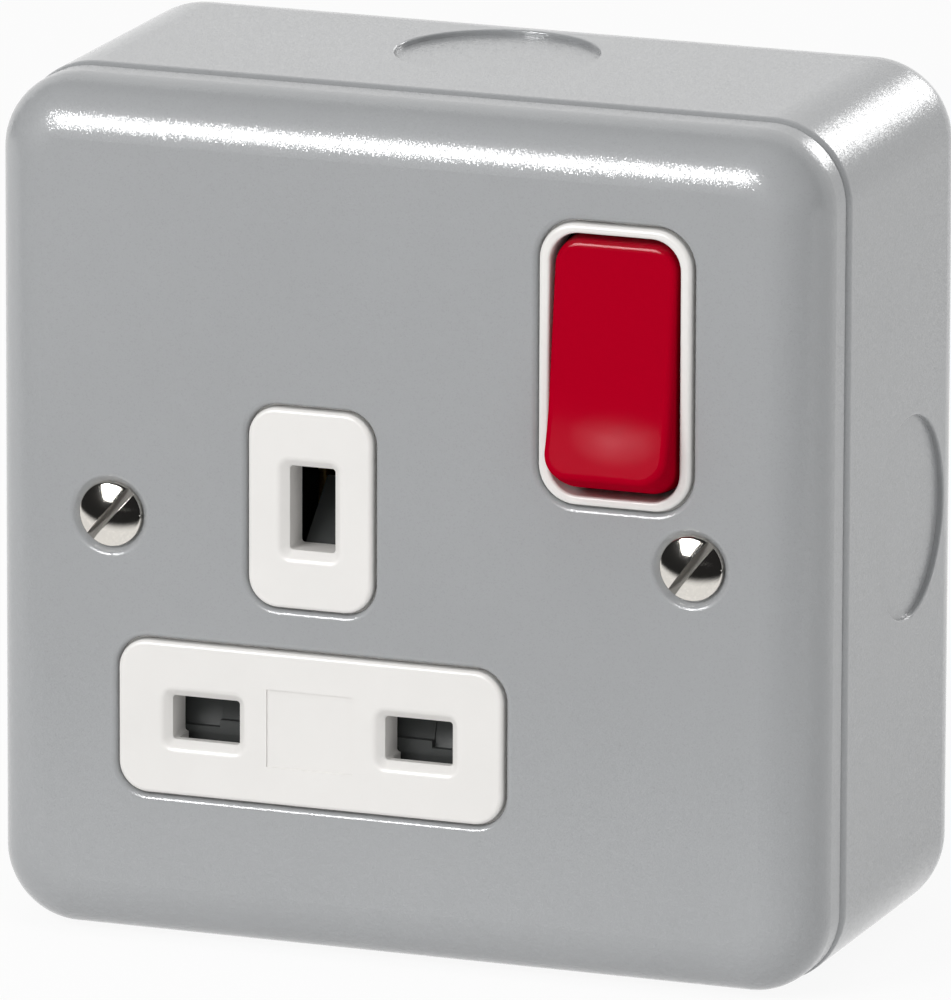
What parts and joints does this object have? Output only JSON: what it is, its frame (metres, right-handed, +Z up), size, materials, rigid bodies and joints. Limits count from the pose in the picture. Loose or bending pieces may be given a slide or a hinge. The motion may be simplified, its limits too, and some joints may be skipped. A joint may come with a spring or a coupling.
{
  "type": "metal clad switched socket",
  "caption": "Surface-mounted mains socket in a grey steel box, with a raised pressed plate, white shuttered apertures for rectangular pins and a red rocker switch.",
  "frame": {"origin": "centre of the box's back face, on the wall", "axes": "+X to the right and +Z up as seen from the front, +Y into the wall; the front faces -Y"},
  "size_m": [0.0864, 0.0486, 0.0864],
  "materials": {
    "grey_enamel": "glossy grey stoved enamel with a fine metallic fleck",
    "white_moulding": "satin white thermoset",
    "red_rocker": "glossy red",
    "shutter_grey": "matt dark grey",
    "black_moulding": "matt black thermoset",
    "nylon": "natural nylon",
    "bright_nickel": "bright nickel plate",
    "zinc_steel": "zinc-plated steel",
    "spring_steel": "bright spring wire",
    "terminal_brass": "plain brass",
    "silver": "silver contact alloy"
  },
  "bodies": {
    "enclosure": {"back_box": "grey_enamel", "box_fixing_lugs": "zinc_steel", "box_earth_terminal": "terminal_brass", "box_earth_screw": "zinc_steel", "front_plate": "grey_enamel", "fixing_screws": "bright_nickel", "front_moulding": "white_moulding", "rear_moulding": "black_moulding", "moulding_screws": "zinc_steel", "stud_washers": "zinc_steel", "stud_nuts": "zinc_steel", "fixed_contact_tips": "silver", "line_terminal": "terminal_brass", "neutral_terminal": "terminal_brass", "line_pin_contact": "terminal_brass", "neutral_pin_contact": "terminal_brass", "earth_contact": "terminal_brass", "earth_terminals": "terminal_brass", "terminal_screws": "zinc_steel", "plate_earth_link": "terminal_brass", "shutter_spring": "spring_steel"},
    "rocker": {"rocker": "red_rocker", "line_plunger_spring": "spring_steel", "neutral_plunger_spring": "spring_steel"},
    "line_plunger": {"line_plunger": "nylon"},
    "neutral_plunger": {"neutral_plunger": "nylon"},
    "line_contact": {"line_moving_contact": "terminal_brass", "line_moving_tip": "silver"},
    "neutral_contact": {"neutral_moving_contact": "terminal_brass", "neutral_moving_tip": "silver"},
    "shutter": {"shutter": "shutter_grey"}
  },
  "joints": [
    {"name": "rocker_tilt", "type": "hinge", "parent": "enclosure", "child": "rocker", "pos_m": [0.0223, -0.0417, 0.0193], "axis": [1, 0, 0], "range_deg": [0, 16.6]},
    {"name": "line_plunger_slide", "type": "slide", "parent": "rocker", "child": "line_plunger", "axis": [0, -0.9895, 0.1444], "range_m": [0, 0.0008], "stiffness_N_per_m": 600, "springref_m": -0.003, "deforming": ["line_plunger_spring"]},
    {"name": "line_contact_rock", "type": "hinge", "parent": "enclosure", "child": "line_contact", "pos_m": [0.0256, -0.02984, 0.0193], "axis": [1, 0, 0], "range_deg": [-16.6, 0]},
    {"name": "neutral_plunger_slide", "type": "slide", "parent": "rocker", "child": "neutral_plunger", "axis": [0, -0.9895, 0.1444], "range_m": [0, 0.0008], "stiffness_N_per_m": 600, "springref_m": -0.003, "deforming": ["neutral_plunger_spring"]},
    {"name": "neutral_contact_rock", "type": "hinge", "parent": "enclosure", "child": "neutral_contact", "pos_m": [0.019, -0.02984, 0.0193], "axis": [1, 0, 0], "range_deg": [-16.6, 0]},
    {"name": "shutter_slide", "type": "slide", "parent": "enclosure", "child": "shutter", "axis": [0, 0, -1], "range_m": [0, 0.0054], "stiffness_N_per_m": 120, "springref_m": -0.006, "deforming": ["shutter_spring"]}
  ],
  "couplings": [
    {"joint": "line_contact_rock", "follows": "rocker_tilt", "ratio": -1},
    {"joint": "neutral_contact_rock", "follows": "rocker_tilt", "ratio": -1}
  ]
}
